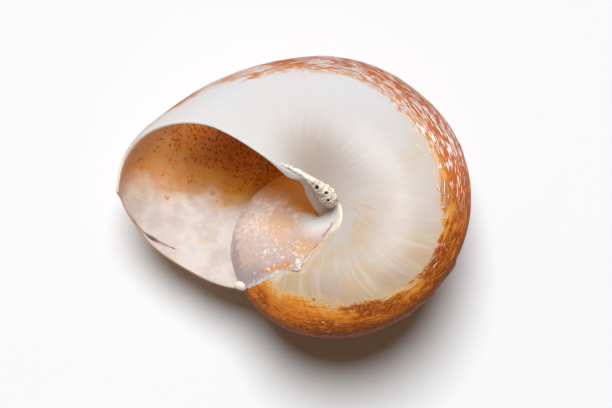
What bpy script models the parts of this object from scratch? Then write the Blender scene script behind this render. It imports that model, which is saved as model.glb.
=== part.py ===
"""Shell of a moon snail, grown as one piece, lying on its spire with its base and mouth up.

A snail shell is one tube that grows by the same factor with every turn. The tube's section is worked
out once, and every growth line is that section turned about the coiling axis and scaled about the apex.
The walls are swept along the growth by extruding, the new whorl is welded to the whorl before it, and the
mouth opens into a living chamber that winds back into the shell.

Growth frame: the apex of the coil is the origin, the coiling axis is Z, and the base lies towards +Z.
Angles are in degrees. "around" runs round the tube's section, 0 at the rim, 90 on the base, 180 at the axis
and -90 on the spire side. "along" is the growth angle, which the lip reaches near 160 to 220.
"""

import math

import bmesh
import bpy
from mathutils import Matrix, Vector
from mathutils.kdtree import KDTree

# Growth: the size of the tube is 1 where "along" is 180.
GROWTH_PER_TURN = 2.05
FULL_TURN = 360.0
FULL_SIZE_ALONG = 180.0

# Section of the tube at size 1, in metres.
TUBE_FROM_AXIS = 0.0190
TUBE_BELOW_APEX = 0.0307
TUBE_HALF_WIDTH = 0.0184
BASE_HALF_HEIGHT = 0.0110
SPIRE_HALF_HEIGHT = 0.0164
SECTION_LEAN = -2.1
ROUNDNESS_BASE = 1.69
ROUNDNESS_SPIRE = 2.01
ROUNDNESS_AXIS = 2.04
AXIS_HEIGHT = 0.0338
NUCLEUS_HEIGHT = 0.009
WALL = 0.0009
COLUMELLA_WALL = 0.0017
THICKENING = (120.0, 158.0)

# Rows round the section. The foot is where the columella stands on the whorl before.
FOOT_AROUND = 158.0
UMBILICAL_AROUND = (162.0,)
PILLAR_AROUNDS = (169.0, 177.0, 185.0)
SPIRE_ROWS = 7
BASE_ROWS = 13
PILLAR_ROWS = 4

# The lip's outline: growth angle reached at each place round the section.
LIP_LINE = (
    (-95.0, 223.0),
    (-67.0, 200.0),
    (-34.0, 186.4),
    (-26.0, 183.9),
    (-16.0, 181.2),
    (0.0, 175.8),
    (44.0, 161.0),
    (87.0, 156.5),
    (123.0, 165.0),
    (150.0, 188.0),
    (190.0, 240.0),
)

# The lip runs out into a blunt corner at the rim: how far along, where round the section, and its reach.
LIP_CORNER = (3.5, 1.5, 8.0)
CORNER_STEPS = 5

# Steps of growth. One lap is the stretch after which the tube meets the whorl before.
STEPS_PER_LAP = 36
SHELL_STEPS = 138
CHAMBER_STEPS = 62

# Uneven growth of the last whorl: amount, middle along the growth, and reach of each swelling or narrowing.
SWELLINGS = (
    (0.013, 78.0, 15.0),
    (-0.034, 126.0, 29.5),
    (0.032, 166.0, 11.0),
)
SWELLING_AROUND = (-60.0, 120.0)

# Local deposits and dents, once the shell lies down: centre, push and reach.
UMBILICAL_CALLUS = ((-0.0029, 0.0091, 0.0163), (-0.0005, 0.0017, 0.0030), 0.0045)
SUTURE_DENT = ((-0.0175, -0.0037, 0.0116), (0.0004, 0.0005, 0.0), 0.0050)

# How it lies: the coiling axis leans back and to the left, and the contact spots are worn flat.
LEAN_BACK = 28.9
LEAN_LEFT = 10.1
WORN_DEPTH = 0.0004
MERGE_DISTANCE = 2e-6
SMOOTH_ANGLE = 50.0

SHELL_COLOUR = (0.86, 0.82, 0.78, 1.0)
SHELL_ROUGHNESS = 0.3


def signed_power(value, exponent):
    return math.copysign(abs(value) ** exponent, value)


def section_point(around):
    """Distance from the coiling axis and height above the apex, on the outer surface at size 1."""
    cosine = math.cos(math.radians(around))
    sine = math.sin(math.radians(around))
    roundness = ROUNDNESS_AXIS
    if cosine >= 0.0:
        roundness = ROUNDNESS_BASE if sine >= 0.0 else ROUNDNESS_SPIRE
    half_height = BASE_HALF_HEIGHT if sine >= 0.0 else SPIRE_HALF_HEIGHT
    offset = Vector(
        (
            TUBE_HALF_WIDTH * signed_power(cosine, 2.0 / roundness),
            half_height * signed_power(sine, 2.0 / roundness),
        )
    )
    offset.rotate(Matrix.Rotation(math.radians(SECTION_LEAN), 2))
    return Vector((TUBE_FROM_AXIS, TUBE_BELOW_APEX)) + offset


def wall_point(around):
    """The point one wall thickness inside the outer surface. The wall thickens to form the columella."""
    start, end = THICKENING
    part = min(max((around - start) / (end - start), 0.0), 1.0)
    thickness = WALL + (COLUMELLA_WALL - WALL) * part * part * (3.0 - 2.0 * part)
    step = 0.5
    tangent = section_point(around + step) - section_point(around - step)
    inward = Vector((-tangent.y, tangent.x)).normalized()
    return section_point(around) + inward * thickness


def lip_line(around):
    """Growth angle of the lip, a smooth curve through the points of LIP_LINE."""
    index = 0
    while index < len(LIP_LINE) - 2 and around > LIP_LINE[index + 1][0]:
        index += 1
    (start, low), (end, high) = LIP_LINE[index], LIP_LINE[index + 1]

    def slope(place):
        before = LIP_LINE[max(place - 1, 0)]
        after = LIP_LINE[min(place + 1, len(LIP_LINE) - 1)]
        return (after[1] - before[1]) / (after[0] - before[0])

    span = end - start
    part = (around - start) / span
    return (
        (2 * part**3 - 3 * part**2 + 1) * low
        + (part**3 - 2 * part**2 + part) * span * slope(index)
        + (3 * part**2 - 2 * part**3) * high
        + (part**3 - part**2) * span * slope(index + 1)
    )


def where_whorls_meet(curve, new_around, old_around):
    """Places round the new whorl's curve and round the old whorl's section where the two touch."""
    nudge = 1e-3
    for _ in range(30):

        def gap(new, old):
            return curve(new) - section_point(old) / GROWTH_PER_TURN

        here = gap(new_around, old_around)
        by_new = (gap(new_around + nudge, old_around) - here) / nudge
        by_old = (gap(new_around, old_around + nudge) - here) / nudge
        scale = by_new.x * by_old.y - by_old.x * by_new.y
        new_around -= (here.x * by_old.y - by_old.x * here.y) / scale
        old_around -= (by_new.x * here.y - here.x * by_new.y) / scale
    return new_around, old_around


def spaced(start, end, parts):
    """Evenly spaced values from start to end, both included."""
    return [start + (end - start) * part / parts for part in range(parts + 1)]


SUTURE_AROUND, ATTACHED_AROUND = where_whorls_meet(section_point, -90.0, 0.0)
CHAMBER_AROUND = where_whorls_meet(wall_point, -90.0, 8.0)[1]
LAP = FULL_TURN + lip_line(ATTACHED_AROUND) - lip_line(SUTURE_AROUND)
STEP = LAP / STEPS_PER_LAP
SPIRE_AROUNDS = spaced(SUTURE_AROUND, ATTACHED_AROUND, SPIRE_ROWS)
BASE_AROUNDS = spaced(CHAMBER_AROUND, FOOT_AROUND, BASE_ROWS)


class Row:
    """One spiral row of the surface: its place in the section at size 1, and its lead in growth angle."""

    def __init__(self, point, lead, around):
        self.point = point
        self.lead = lead
        self.around = around


def outer_rows(arounds):
    return [Row(section_point(around), lip_line(around), around) for around in arounds]


def row_on_whorl_before(around):
    """A row of the living chamber that lies on the outer surface of the whorl before."""
    lead = lip_line(around) + FULL_TURN - LAP
    return Row(section_point(around) / GROWTH_PER_TURN, lead, SUTURE_AROUND)


def chamber_rows():
    """The inside of the wall, from the suture round the section and down the columella to its foot."""
    rows = [row_on_whorl_before(CHAMBER_AROUND)]
    for around in SPIRE_AROUNDS[1:] + BASE_AROUNDS + list(UMBILICAL_AROUND + PILLAR_AROUNDS):
        rows.append(Row(wall_point(around), lip_line(around), around))
    top = rows[-1]
    foot = row_on_whorl_before(FOOT_AROUND)
    for part in spaced(0.0, 1.0, PILLAR_ROWS)[1:]:
        point = top.point.lerp(foot.point, part)
        rows.append(Row(point, top.lead + (foot.lead - top.lead) * part, top.around))
    return rows


def swelling(around, along):
    """How much wider than the plain spiral the last whorl is."""
    low, high = SWELLING_AROUND
    if not low < around < high:
        return 1.0
    weight = math.sin(math.pi * (around - low) / (high - low)) ** 2
    total = 0.0
    for amount, middle, reach in SWELLINGS:
        total += amount * math.exp(-(((along - middle) / reach) ** 2))
    return 1.0 + weight * total


def placed(row, step):
    """Position of a row's point at a growth step. Step 0 is the lip."""
    ahead, middle, reach = LIP_CORNER
    near_lip = max(0.0, 1.0 + step / CORNER_STEPS) ** 2
    corner = ahead * math.exp(-(((row.around - middle) / reach) ** 2)) * near_lip
    along = row.lead + step * STEP + corner
    size = GROWTH_PER_TURN ** ((along - FULL_SIZE_ALONG) / FULL_TURN)
    out = row.point.x * swelling(row.around, along)
    angle = math.radians(along)
    return size * Vector((out * math.cos(angle), out * math.sin(angle), row.point.y))


def grow_sheet(mesh, rows, first, last):
    """Extrudes a line of rows along the growth, one step at a time."""
    line = [mesh.verts.new(placed(row, first)) for row in rows]
    for pair in zip(line, line[1:]):
        mesh.edges.new(pair)
    for step in range(first + 1, last + 1):
        extruded = bmesh.ops.extrude_edge_only(mesh, edges=edges_along(mesh, line))
        new_vertices = {item for item in extruded["geom"] if isinstance(item, bmesh.types.BMVert)}
        grown = []
        for vertex, row in zip(line, rows):
            neighbours = [edge.other_vert(vertex) for edge in vertex.link_edges]
            partner = next(item for item in neighbours if item in new_vertices)
            partner.co = placed(row, step)
            grown.append(partner)
        line = grown


def edges_along(mesh, line):
    return [mesh.edges.get(pair) for pair in zip(line, line[1:])]


def vertices_at(mesh, points):
    """The vertices nearest to a list of points."""
    tree = KDTree(len(mesh.verts))
    for index, vertex in enumerate(mesh.verts):
        tree.insert(vertex.co, index)
    tree.balance()
    mesh.verts.ensure_lookup_table()
    return [mesh.verts[tree.find(point)[1]] for point in points]


def close_ring(mesh, points, centre):
    """Closes a ring of the wall with a fan about a centre point."""
    face = mesh.faces.new(vertices_at(mesh, points))
    bmesh.ops.poke(mesh, faces=[face])["verts"][0].co = centre


def zip_lines(mesh, outer_points, inner_points):
    """Fills the gap between two lines with triangles, always across the shorter way."""
    outer = vertices_at(mesh, outer_points)
    inner = vertices_at(mesh, inner_points)
    while len(outer) > 1 or len(inner) > 1:
        along_outer = (outer[1].co - inner[0].co).length if len(outer) > 1 else math.inf
        along_inner = (inner[1].co - outer[0].co).length if len(inner) > 1 else math.inf
        line = outer if along_outer < along_inner else inner
        corners = {outer[0], inner[0], line[1]}
        if len(corners) == 3:
            mesh.faces.new(corners)
        line.pop(0)


def build_wall():
    """The closed wall of the shell, in the growth frame."""
    spire = outer_rows(SPIRE_AROUNDS)
    base = outer_rows(BASE_AROUNDS)
    umbilicus = outer_rows(UMBILICAL_AROUND)
    axis = Row(Vector((0.0, AXIS_HEIGHT)), umbilicus[-1].lead, FOOT_AROUND)
    umbilicus.append(axis)
    chamber = chamber_rows()
    last_whorl = [spire[-1]] + base + umbilicus

    mesh = bmesh.new()
    grow_sheet(mesh, spire, -SHELL_STEPS, 0)
    grow_sheet(mesh, last_whorl, -STEPS_PER_LAP, 0)
    grow_sheet(mesh, base, -CHAMBER_STEPS - STEPS_PER_LAP, -STEPS_PER_LAP)
    grow_sheet(mesh, chamber, -CHAMBER_STEPS, 0)
    bmesh.ops.remove_doubles(mesh, verts=mesh.verts, dist=MERGE_DISTANCE)

    # The lip and the front of the columella join the outer surface to the chamber.
    rim = [placed(row, 0) for row in spire + last_whorl[1:]]
    rim += [placed(axis, -step) for step in range(1, STEPS_PER_LAP)]
    rim += [placed(row, -STEPS_PER_LAP) for row in [axis] + umbilicus[-2::-1] + [base[-1]]]
    zip_lines(mesh, rim, [placed(row, 0) for row in chamber])

    # The first whorl starts in a small rounded nucleus, and the chamber ends deep inside.
    nucleus = [placed(row, -SHELL_STEPS) for row in spire[::-1]]
    nucleus += [placed(spire[0], step - SHELL_STEPS) for step in range(1, STEPS_PER_LAP)]
    start_size = GROWTH_PER_TURN ** (-(SHELL_STEPS * STEP) / FULL_TURN)
    close_ring(mesh, nucleus, Vector((0.0, 0.0, NUCLEUS_HEIGHT * start_size)))
    chamber_end = [placed(row, -CHAMBER_STEPS) for row in chamber]
    chamber_end += [placed(row, -CHAMBER_STEPS - STEPS_PER_LAP) for row in base[-2:0:-1]]
    middle = Row(Vector((TUBE_FROM_AXIS, TUBE_BELOW_APEX)), FULL_SIZE_ALONG, FOOT_AROUND)
    close_ring(mesh, chamber_end, placed(middle, -CHAMBER_STEPS))
    bmesh.ops.recalc_face_normals(mesh, faces=mesh.faces)
    return mesh


def lay_down(mesh):
    """Turns the shell onto its spire, wears the contact spots flat and sets the origin under its middle."""
    turn = Matrix.Rotation(math.radians(-LEAN_LEFT), 4, "Y")
    turn @= Matrix.Rotation(math.radians(-LEAN_BACK), 4, "X")
    bmesh.ops.transform(mesh, matrix=turn, verts=mesh.verts)
    for centre, push, reach in (UMBILICAL_CALLUS, SUTURE_DENT):
        for vertex in mesh.verts:
            distance = (vertex.co - Vector(centre)).length
            vertex.co += Vector(push) * math.exp(-((distance / reach) ** 2))
    floor = min(vertex.co.z for vertex in mesh.verts) + WORN_DEPTH
    everything = mesh.verts[:] + mesh.edges[:] + mesh.faces[:]
    cut = bmesh.ops.bisect_plane(
        mesh, geom=everything, plane_co=(0, 0, floor), plane_no=(0, 0, 1), clear_inner=True
    )["geom_cut"]
    cut_edges = [item for item in cut if isinstance(item, bmesh.types.BMEdge)]
    bmesh.ops.holes_fill(mesh, edges=cut_edges, sides=0)
    xs = [vertex.co.x for vertex in mesh.verts]
    ys = [vertex.co.y for vertex in mesh.verts]
    middle = Vector(((min(xs) + max(xs)) / 2, (min(ys) + max(ys)) / 2, floor))
    bmesh.ops.translate(mesh, vec=-middle, verts=mesh.verts)
    bmesh.ops.recalc_face_normals(mesh, faces=mesh.faces)


def shell_material():
    material = bpy.data.materials.new("shell")
    material.use_nodes = True
    finish = material.node_tree.nodes["Principled BSDF"]
    finish.inputs["Base Color"].default_value = SHELL_COLOUR
    finish.inputs["Roughness"].default_value = SHELL_ROUGHNESS
    finish.inputs["Metallic"].default_value = 0.0
    return material


def main():
    for item in list(bpy.data.objects):
        bpy.data.objects.remove(item)
    mesh = build_wall()
    lay_down(mesh)
    data = bpy.data.meshes.new("shell")
    mesh.to_mesh(data)
    mesh.free()
    data.shade_smooth()
    data.set_sharp_from_angle(angle=math.radians(SMOOTH_ANGLE))
    data.materials.append(shell_material())
    bpy.context.scene.collection.objects.link(bpy.data.objects.new("shell", data))


main()
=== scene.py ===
"""Looks of a moon snail shell, lying on its spire with its base and open mouth up.

The wall is grown the way the animal grows it: one section, turned about the coiling axis and scaled about
the apex, growth line after growth line. Angles are in degrees. "around" runs round the tube's section, 0 at
the rim, 90 on the base, 180 at the axis and -90 on the spire side. "along" is the growth angle.
"""

import math
from functools import partial

import bmesh
import bpy
from mathutils import Matrix, Vector, noise
from mathutils.kdtree import KDTree

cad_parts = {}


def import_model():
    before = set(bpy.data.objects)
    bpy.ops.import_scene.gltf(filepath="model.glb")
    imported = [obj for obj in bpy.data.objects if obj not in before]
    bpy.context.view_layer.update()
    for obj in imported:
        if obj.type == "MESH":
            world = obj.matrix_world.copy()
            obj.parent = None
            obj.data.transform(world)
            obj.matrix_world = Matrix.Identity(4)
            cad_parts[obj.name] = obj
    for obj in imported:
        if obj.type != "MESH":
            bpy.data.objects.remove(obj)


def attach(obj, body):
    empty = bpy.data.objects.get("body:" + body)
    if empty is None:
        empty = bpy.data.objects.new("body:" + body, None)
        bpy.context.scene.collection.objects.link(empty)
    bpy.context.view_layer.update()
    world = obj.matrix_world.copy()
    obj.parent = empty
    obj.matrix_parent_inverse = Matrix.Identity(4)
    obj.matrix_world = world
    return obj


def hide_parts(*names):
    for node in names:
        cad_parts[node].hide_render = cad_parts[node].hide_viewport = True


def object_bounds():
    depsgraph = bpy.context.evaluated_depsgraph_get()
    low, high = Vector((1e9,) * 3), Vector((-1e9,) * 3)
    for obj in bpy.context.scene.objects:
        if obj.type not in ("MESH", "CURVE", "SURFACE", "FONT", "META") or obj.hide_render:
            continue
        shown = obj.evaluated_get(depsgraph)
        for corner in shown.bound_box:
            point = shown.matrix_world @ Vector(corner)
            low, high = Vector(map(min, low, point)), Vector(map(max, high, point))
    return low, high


MM = 0.001

# Growth: the size of the tube is 1 where "along" is 180.
GROWTH_PER_TURN = 2.05
FULL_TURN = 360.0
FULL_SIZE_ALONG = 180.0

# Section of the tube at size 1, in metres.
TUBE_FROM_AXIS = 0.0190
TUBE_BELOW_APEX = 0.0307
TUBE_HALF_WIDTH = 0.0184
BASE_HALF_HEIGHT = 0.0110
SPIRE_HALF_HEIGHT = 0.0164
SECTION_LEAN = -2.1
ROUNDNESS_BASE = 1.69
ROUNDNESS_SPIRE = 2.01
ROUNDNESS_AXIS = 2.04
AXIS_HEIGHT = 0.0338
NUCLEUS_HEIGHT = 0.009
WALL = 0.0009
COLUMELLA_WALL = 0.0017
THICKENING = (120.0, 158.0)

# Rows round the section. The foot is where the columella stands on the whorl before.
FOOT_AROUND = 158.0
UMBILICAL_AROUNDS = (159.5, 161.0, 162.5, 164.0)
PILLAR_AROUNDS = (167.0, 170.0, 173.5, 177.0, 181.0, 185.0)
SPIRE_ROWS = 26
BASE_ROWS = 66
PILLAR_ROWS = 10

# The lip's outline: growth angle reached at each place round the section.
LIP_LINE = (
    (-95.0, 223.0),
    (-67.0, 200.0),
    (-34.0, 186.4),
    (-26.0, 183.9),
    (-16.0, 181.2),
    (0.0, 175.8),
    (44.0, 161.0),
    (87.0, 156.5),
    (123.0, 165.0),
    (150.0, 188.0),
    (190.0, 240.0),
)

# The lip runs out into a blunt corner at the rim: how far along, where round the section, and its reach.
LIP_CORNER = (3.5, 1.5, 8.0)
CORNER_ANGLE = 44.0

# The wall thins out towards the lip: the share of its thickness that goes, and over what growth angle, for
# the wall and for the columella. Its edges are worn round.
LIP_THINNING = 0.42
THINNING_ANGLE = 16.0
PILLAR_THINNING = 0.8
PILLAR_THINNING_ANGLE = 56.0
LIP_ROUNDING = 0.00016

# Steps of growth. One lap is the stretch after which the tube meets the whorl before.
STEPS_PER_LAP = 240
SHELL_STEPS = 920
CHAMBER_STEPS = 300

# Uneven growth of the last whorl: amount, middle along the growth, and reach of each swelling or narrowing.
SWELLINGS = (
    (0.013, 78.0, 15.0),
    (-0.034, 126.0, 29.5),
    (0.032, 166.0, 11.0),
)
SWELLING_AROUND = (-60.0, 120.0)

# Heights of the fine wrinkles and the broad waves that lie along the growth lines.
WRINKLE_HEIGHT = 0.000035
WAVE_HEIGHT = 0.00010

# Halts in growth leave small steps across the rim: along, drop in metres and length of the ramp before it.
GROWTH_HALTS = (
    (-46.0, 0.00024, 6.0),
    (-34.5, 0.00034, 7.0),
    (-19.0, 0.00032, 9.0),
    (31.0, 0.00012, 6.0),
    (96.0, 0.00012, 8.0),
)

# Once the shell lies down: the middle of the painted shade in the hollow at the umbilicus, then local
# deposits and dents as centre, push and reach.
UMBILICAL_SHADE_MIDDLE = (0.0048, 0.0062, 0.0280)
UMBILICAL_CALLUS = ((-0.0029, 0.0091, 0.0163), (-0.0005, 0.0017, 0.0030), 0.0045)
SUTURE_DENT = ((-0.0175, -0.0037, 0.0116), (0.0004, 0.0005, 0.0), 0.0050)

# How it lies: the coiling axis leans back and to the left, and the contact spots are worn flat.
LEAN_BACK = 28.9
LEAN_LEFT = 10.1
WORN_DEPTH = 0.0004
MERGE_DISTANCE = 2e-6

# Where the orange-brown band round the rim ends on the base: (along, around).
BAND_EDGE = (
    (-125.0, 51.0),
    (-101.0, 50.5),
    (-88.0, 47.0),
    (-78.0, 43.0),
    (-62.0, 39.0),
    (-47.0, 35.5),
    (-38.0, 32.5),
    (-29.0, 33.0),
    (-21.0, 35.5),
    (-13.0, 40.0),
    (-3.0, 44.5),
    (6.0, 48.0),
    (15.0, 52.0),
    (26.0, 55.0),
    (36.0, 56.5),
    (70.0, 57.5),
    (93.0, 58.5),
    (106.0, 57.5),
    (119.0, 54.0),
    (127.0, 49.5),
    (136.0, 43.5),
    (159.0, 30.0),
    (180.0, 18.0),
)

# Where the orange stain in the mouth begins: (around, along).
STAIN_EDGE = (
    (-92.0, 158.0),
    (-84.0, 160.0),
    (-77.0, 164.0),
    (-69.0, 160.5),
    (-59.0, 162.0),
    (-46.0, 166.5),
    (-32.0, 167.0),
    (-18.0, 171.0),
    (0.0, 177.0),
)

# Edge of the callus that the animal laid over the whorl before: (around, along).
CALLUS_EDGE = (
    (4.0, -142.0),
    (22.0, -136.5),
    (37.0, -132.0),
    (53.0, -127.0),
    (67.0, -121.5),
    (72.0, -115.5),
    (74.5, -110.0),
    (76.0, -105.5),
    (84.0, -104.0),
    (94.0, -101.0),
    (105.0, -93.0),
    (118.0, -78.0),
    (123.0, -55.0),
    (132.0, -31.0),
    (139.0, -12.0),
    (150.0, 12.0),
    (160.0, 34.0),
)
CALLUS_AROUND = (6.0, 164.0, 190)
CALLUS_ALONG = (-236.0, 26.0, 250)
CALLUS_FIELDS = ("inside", "crust", "tooth", "warm", "ochre", "painted_shade", "red", "fold")

# Lines over the callus, as (around, along): the ridge of its tooth, the fold of its smooth end, and a reddish
# and an ochre streak.
TOOTH_LINE = ((106.0, -128.0), (99.0, -118.5), (89.5, -111.0), (77.0, -106.0))
FOLD_LINE = ((155.0, 14.0), (145.0, -4.0), (137.0, -27.0), (130.0, -48.0), (125.5, -65.0), (119.5, -77.0))
RED_LINE = ((134.0, -60.0), (129.0, -69.0), (124.5, -79.0), (121.0, -86.0))
OCHRE_LINE = ((55.0, -133.0), (66.0, -127.5), (75.0, -120.5), (84.0, -116.0))

# On the callus, a degree round the section is this many times as long as a degree along the growth.
AROUND_STEP = 1.45

# Patches of crust, stain and painted shade on the callus: field, strength, middle as (around, along), and
# reach each way.
CALLUS_PATCHES = (
    ("crust", 1.0, (80.0, -138.0), (27.0, 19.0)),
    ("warm", 1.0, (97.0, -172.0), (19.0, 30.0)),
    ("warm", 0.8, (104.0, -112.0), (16.0, 14.0)),
    ("ochre", 1.1, (106.0, -96.0), (8.0, 4.0)),
    ("ochre", 0.45, (94.0, -150.0), (9.0, 16.0)),
    ("painted_shade", 1.0, (27.0, -152.0), (13.0, 28.0)),
    ("painted_shade", 0.8, (46.0, -136.0), (16.0, 9.0)),
)

# Height of the callus over the whorl before, what each of its features adds, and how far its edge is tucked
# under the surface.
CALLUS_HEIGHT = 0.00015
CALLUS_RIM = 0.00007
CALLUS_FOLD = 0.00022
CALLUS_TOOTH = 0.00038
CALLUS_CRUST = 0.00007
CALLUS_UNEVENNESS = 0.00003
CALLUS_TUCK = 0.00014

# Thickness of its closed skin, and a place on it where the outside faces up.
CALLUS_DEPTH = 0.0004
CALLUS_TOP = (0.0, -0.008, 0.023)

# Crust down the front of the columella, from thin to a knob: place of its middle line and its half width.
COLUMELLA_CRUST = (
    (-0.0022, 0.0053, 0.0308, 0.00010),
    (-0.0006, 0.0046, 0.0311, 0.00032),
    (0.0013, 0.0036, 0.0312, 0.00045),
    (0.0029, 0.0025, 0.0304, 0.00062),
    (0.0042, 0.0015, 0.0288, 0.00095),
    (0.0052, 0.0006, 0.0270, 0.00130),
    (0.0061, -0.0003, 0.0254, 0.00155),
    (0.0066, -0.0013, 0.0240, 0.00135),
    (0.0064, -0.0021, 0.0229, 0.00070),
)
CRUST_RAGGEDNESS = 0.00032

# Pits in the crust's top, as (x, y, reach), how deep they are and how high their rims stand.
CRUST_PITS = ((0.0043, 0.0010, 0.00034), (0.0059, 0.0001, 0.00026), (0.0063, -0.0012, 0.00024))
PIT_DEPTH = 0.0005
PIT_RIM = 0.00012

# Smooth knob where the lip runs onto the whorl before.
POSTERIOR_KNOB = (
    (-0.0108, -0.0164, 0.0162, 0.00025),
    (-0.0101, -0.0166, 0.0165, 0.00070),
    (-0.0092, -0.0167, 0.0173, 0.00090),
    (-0.0084, -0.0167, 0.0182, 0.00070),
    (-0.0078, -0.0166, 0.0189, 0.00030),
)
KNOB_RAGGEDNESS = 0.00006

# Segments round and along each lump of callus.
LUMP_SEGMENTS = (84, 160)

# Spots of stain on the lining: place, reach and colour.
STAIN_SPOTS = (
    ((-0.0236, -0.0007, 0.0089), 0.00058, "#E09A30"),
    ((-0.0152, 0.0002, 0.0054), 0.00070, "#DDA07C"),
    ((-0.0059, 0.0053, 0.0024), 0.00022, "#7A2A0C"),
    ((-0.0053, 0.0056, 0.0024), 0.00026, "#7A2A0C"),
    ((-0.0047, 0.0060, 0.0022), 0.00020, "#7A2A0C"),
)

# A scar in the lining near the far lip, as (around, along), half its width in degrees along, its depth, where
# it is darkest and over what reach, and how far about it the mesh is made finer.
SLIT_LINE = (
    (-60.0, 190.6),
    (-56.4, 189.8),
    (-44.7, 187.7),
    (-38.5, 186.7),
    (-32.5, 185.5),
    (-22.4, 182.5),
    (-19.0, 181.2),
)
SLIT_HALF_WIDTH = 0.28
SLIT_DEPTH = 0.00016
SLIT_DARKEST = (-42.0, 3.2)
SLIT_MARGIN = 2.4
SLIT_CUTS = 5

# Edges sharper than this stay sharp.
SHARP_ANGLE = 50.0

# Studio: a long lens over the middle of the shell, a big window up and to the back, and a dim warm room.
LENS = 100.0
SENSOR_WIDTH = 36.0
CAMERA_PLACE = (0.00237, -0.00184, 0.3265)
WINDOW_DIRECTION = (-0.04, 0.55, 1.0)
WINDOW_STRENGTH = 5.08
WINDOW_SOFTNESS = 30.0
WINDOW_COLOUR = (0.93, 0.97, 1.0)
ROOM_COLOUR = (1.0, 0.63, 0.42, 1.0)
ROOM_STRENGTH = 0.14
FLOOR_HALF_WIDTH = 1.5


def signed_power(value, exponent):
    return math.copysign(abs(value) ** exponent, value)


def smooth(value, low, high):
    """0 below low, 1 above high, and an S-curve between them."""
    part = min(max((value - low) / (high - low), 0.0), 1.0)
    return part * part * (3.0 - 2.0 * part)


def through(points, place):
    """Smooth curve through a line of points, read at a place along their first number."""
    index = 0
    while index < len(points) - 2 and place > points[index + 1][0]:
        index += 1
    (start, low), (end, high) = points[index], points[index + 1]

    def slope(at):
        before = points[max(at - 1, 0)]
        after = points[min(at + 1, len(points) - 1)]
        return (after[1] - before[1]) / (after[0] - before[0])

    span = end - start
    part = (place - start) / span
    return (
        (2 * part**3 - 3 * part**2 + 1) * low
        + (part**3 - 2 * part**2 + part) * span * slope(index)
        + (3 * part**2 - 2 * part**3) * high
        + (part**3 - part**2) * span * slope(index + 1)
    )


def section_point(around):
    """Distance from the coiling axis and height above the apex, on the outer surface at size 1."""
    cosine = math.cos(math.radians(around))
    sine = math.sin(math.radians(around))
    roundness = ROUNDNESS_AXIS
    if cosine >= 0.0:
        roundness = ROUNDNESS_BASE if sine >= 0.0 else ROUNDNESS_SPIRE
    half_height = BASE_HALF_HEIGHT if sine >= 0.0 else SPIRE_HALF_HEIGHT
    offset = Vector(
        (
            TUBE_HALF_WIDTH * signed_power(cosine, 2.0 / roundness),
            half_height * signed_power(sine, 2.0 / roundness),
        )
    )
    offset.rotate(Matrix.Rotation(math.radians(SECTION_LEAN), 2))
    return Vector((TUBE_FROM_AXIS, TUBE_BELOW_APEX)) + offset


def section_inward(around):
    step = 0.5
    tangent = section_point(around + step) - section_point(around - step)
    return Vector((-tangent.y, tangent.x)).normalized()


def wall_point(around):
    """The point one wall thickness inside the outer surface. The wall thickens to form the columella."""
    thickness = WALL + (COLUMELLA_WALL - WALL) * smooth(around, *THICKENING)
    return section_point(around) + section_inward(around) * thickness


def lip_line(around):
    """Growth angle of the lip."""
    return through(LIP_LINE, around)


def where_whorls_meet(curve, new_around, old_around):
    """Places round the new whorl's curve and round the old whorl's section where the two touch."""
    nudge = 1e-3
    for _ in range(30):

        def gap(new, old):
            return curve(new) - section_point(old) / GROWTH_PER_TURN

        here = gap(new_around, old_around)
        by_new = (gap(new_around + nudge, old_around) - here) / nudge
        by_old = (gap(new_around, old_around + nudge) - here) / nudge
        scale = by_new.x * by_old.y - by_old.x * by_new.y
        new_around -= (here.x * by_old.y - by_old.x * here.y) / scale
        old_around -= (by_new.x * here.y - here.x * by_new.y) / scale
    return new_around, old_around


def spaced(start, end, parts):
    """Evenly spaced values from start to end, both included."""
    return [start + (end - start) * part / parts for part in range(parts + 1)]


SUTURE_AROUND, ATTACHED_AROUND = where_whorls_meet(section_point, -90.0, 0.0)
CHAMBER_AROUND = where_whorls_meet(wall_point, -90.0, 8.0)[1]
LAP = FULL_TURN + lip_line(ATTACHED_AROUND) - lip_line(SUTURE_AROUND)
STEP = LAP / STEPS_PER_LAP
SPIRE_AROUNDS = spaced(SUTURE_AROUND, ATTACHED_AROUND, SPIRE_ROWS)
BASE_AROUNDS = spaced(CHAMBER_AROUND, FOOT_AROUND, BASE_ROWS)


class Row:
    """One spiral row of the surface: its place in the section at size 1, and its lead in growth angle."""

    def __init__(self, point, lead, around, outward=None, thinning=Vector((0.0, 0.0))):
        self.point = point
        self.lead = lead
        self.around = around
        self.outward = outward
        self.thinning = thinning


def outer_rows(arounds):
    return [
        Row(section_point(around), lip_line(around), around, -section_inward(around))
        for around in arounds
    ]


def row_on_whorl_before(around):
    """A row of the living chamber that lies on the outer surface of the whorl before."""
    lead = lip_line(around) + FULL_TURN - LAP
    return Row(section_point(around) / GROWTH_PER_TURN, lead, SUTURE_AROUND)


def chamber_rows():
    """The inside of the wall, from the suture round the section and down the columella to its foot."""
    rows = [row_on_whorl_before(CHAMBER_AROUND)]
    for around in SPIRE_AROUNDS[1:] + BASE_AROUNDS + list(UMBILICAL_AROUNDS + PILLAR_AROUNDS):
        thinning = LIP_THINNING * smooth(-around, -150.0, -125.0)
        thinning += PILLAR_THINNING * smooth(around, 148.0, 168.0)
        thinning *= section_point(around) - wall_point(around)
        rows.append(Row(wall_point(around), lip_line(around), around, thinning=thinning))
    top = rows[-1]
    foot = row_on_whorl_before(FOOT_AROUND)
    for part in spaced(0.0, 1.0, PILLAR_ROWS)[1:]:
        point = top.point.lerp(foot.point, part)
        thinning = top.thinning * (1.0 - part)
        rows.append(Row(point, top.lead + (foot.lead - top.lead) * part, top.around, thinning=thinning))
    return rows


def swelling(around, along):
    """How much wider than the plain spiral the last whorl is."""
    low, high = SWELLING_AROUND
    if not low < around < high:
        return 1.0
    weight = math.sin(math.pi * (around - low) / (high - low)) ** 2
    total = 0.0
    for amount, middle, reach in SWELLINGS:
        total += amount * math.exp(-(((along - middle) / reach) ** 2))
    return 1.0 + weight * total


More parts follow.
